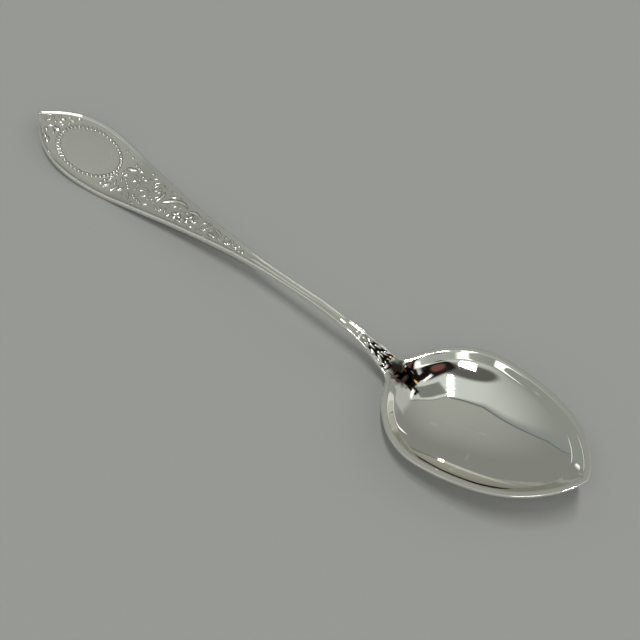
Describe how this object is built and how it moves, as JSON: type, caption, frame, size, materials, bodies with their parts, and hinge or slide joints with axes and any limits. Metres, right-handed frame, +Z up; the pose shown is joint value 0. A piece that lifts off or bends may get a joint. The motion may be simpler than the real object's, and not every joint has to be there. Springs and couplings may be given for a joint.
{
  "type": "teaspoon",
  "caption": "Silver teaspoon with a pointed egg-shaped bowl, a slim arched stem and a leaf-shaped handle with a threaded edge, struck scrolls and a plain beaded oval.",
  "frame": {"origin": "centre of the bounding box's underside: half the spoon's length from either tip, on its line of symmetry, on the table it rests on", "axes": "+X along the spoon from the tip of the handle to the tip of the bowl, +Z up out of the bowl, +Y to the left"},
  "size_m": [0.15, 0.0298, 0.0132],
  "materials": {
    "polished_silver": "polished",
    "struck_silver": "satin"
  },
  "bodies": {
    "root": {"bowl": "polished_silver", "drop": "polished_silver", "stem": "polished_silver", "blade": "polished_silver", "thread_left": "polished_silver", "thread_right": "polished_silver", "stem_rib": "polished_silver", "cartouche": "polished_silver", "bead_border": "struck_silver", "tip_scrolls": "struck_silver", "leaf_sprays": "struck_silver", "scroll_work": "struck_silver", "rosettes": "struck_silver", "husk_drop": "struck_silver", "shoulder_leaves": "struck_silver"}
  },
  "joints": []
}
